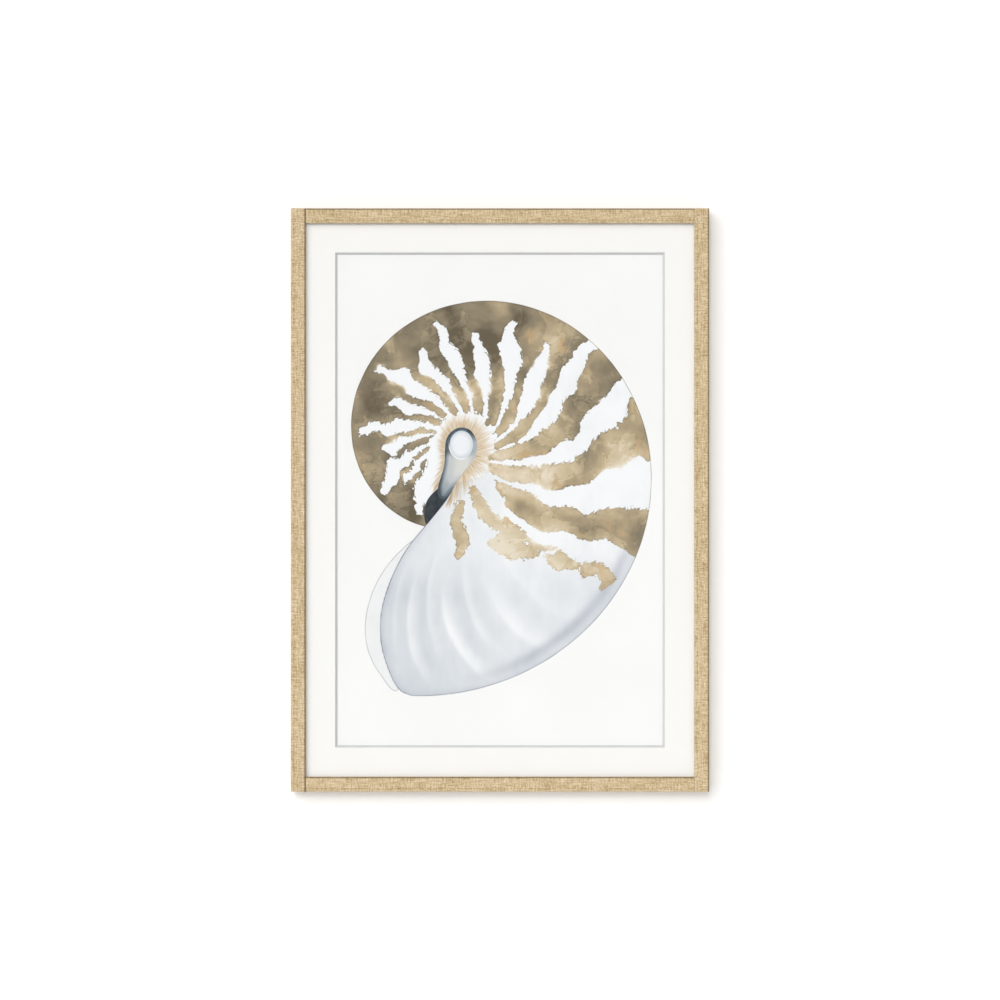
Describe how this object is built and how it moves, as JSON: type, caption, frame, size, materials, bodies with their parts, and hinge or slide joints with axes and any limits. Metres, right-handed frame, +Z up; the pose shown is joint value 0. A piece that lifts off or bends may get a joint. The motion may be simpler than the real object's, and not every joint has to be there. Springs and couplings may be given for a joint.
{
  "type": "framed wall picture",
  "caption": "Tall rectangular picture frame with linen-wrapped butt-jointed mouldings, clear glazing, bevelled window mat, a shell print, backing board and a sawtooth hanger.",
  "frame": {"origin": "where the wall nail bears: the apex of the sawtooth hanger's middle notch, in the plane of the wall that the bumpers touch", "axes": "+Z up along the frame's height, +X to the viewer's right along its width, and the picture faces -Y, so +Y points into the wall"},
  "size_m": [0.644, 0.033, 0.898],
  "materials": {
    "linen_moulding": "matte",
    "clear_acrylic": "gloss",
    "mat_paper": "matte",
    "art_paper": "matte",
    "hardboard": "matte",
    "zinc_steel": "satin",
    "felt": "matte"
  },
  "bodies": {
    "root": {"frame_stile_left": "linen_moulding", "frame_stile_right": "linen_moulding", "frame_rail_top": "linen_moulding", "frame_rail_bottom": "linen_moulding", "glazing_sheet": "clear_acrylic", "mat_board": "mat_paper", "print_sheet": "art_paper", "backing_board": "hardboard", "tab_left_lower": "zinc_steel", "tab_left_middle": "zinc_steel", "tab_left_upper": "zinc_steel", "tab_right_lower": "zinc_steel", "tab_right_middle": "zinc_steel", "tab_right_upper": "zinc_steel", "tab_top_left": "zinc_steel", "tab_top_right": "zinc_steel", "tab_bottom_left": "zinc_steel", "tab_bottom_right": "zinc_steel", "sawtooth_hanger": "zinc_steel", "hanger_nail_left": "zinc_steel", "hanger_nail_right": "zinc_steel", "wall_bumper_left": "felt", "wall_bumper_right": "felt"}
  },
  "joints": []
}
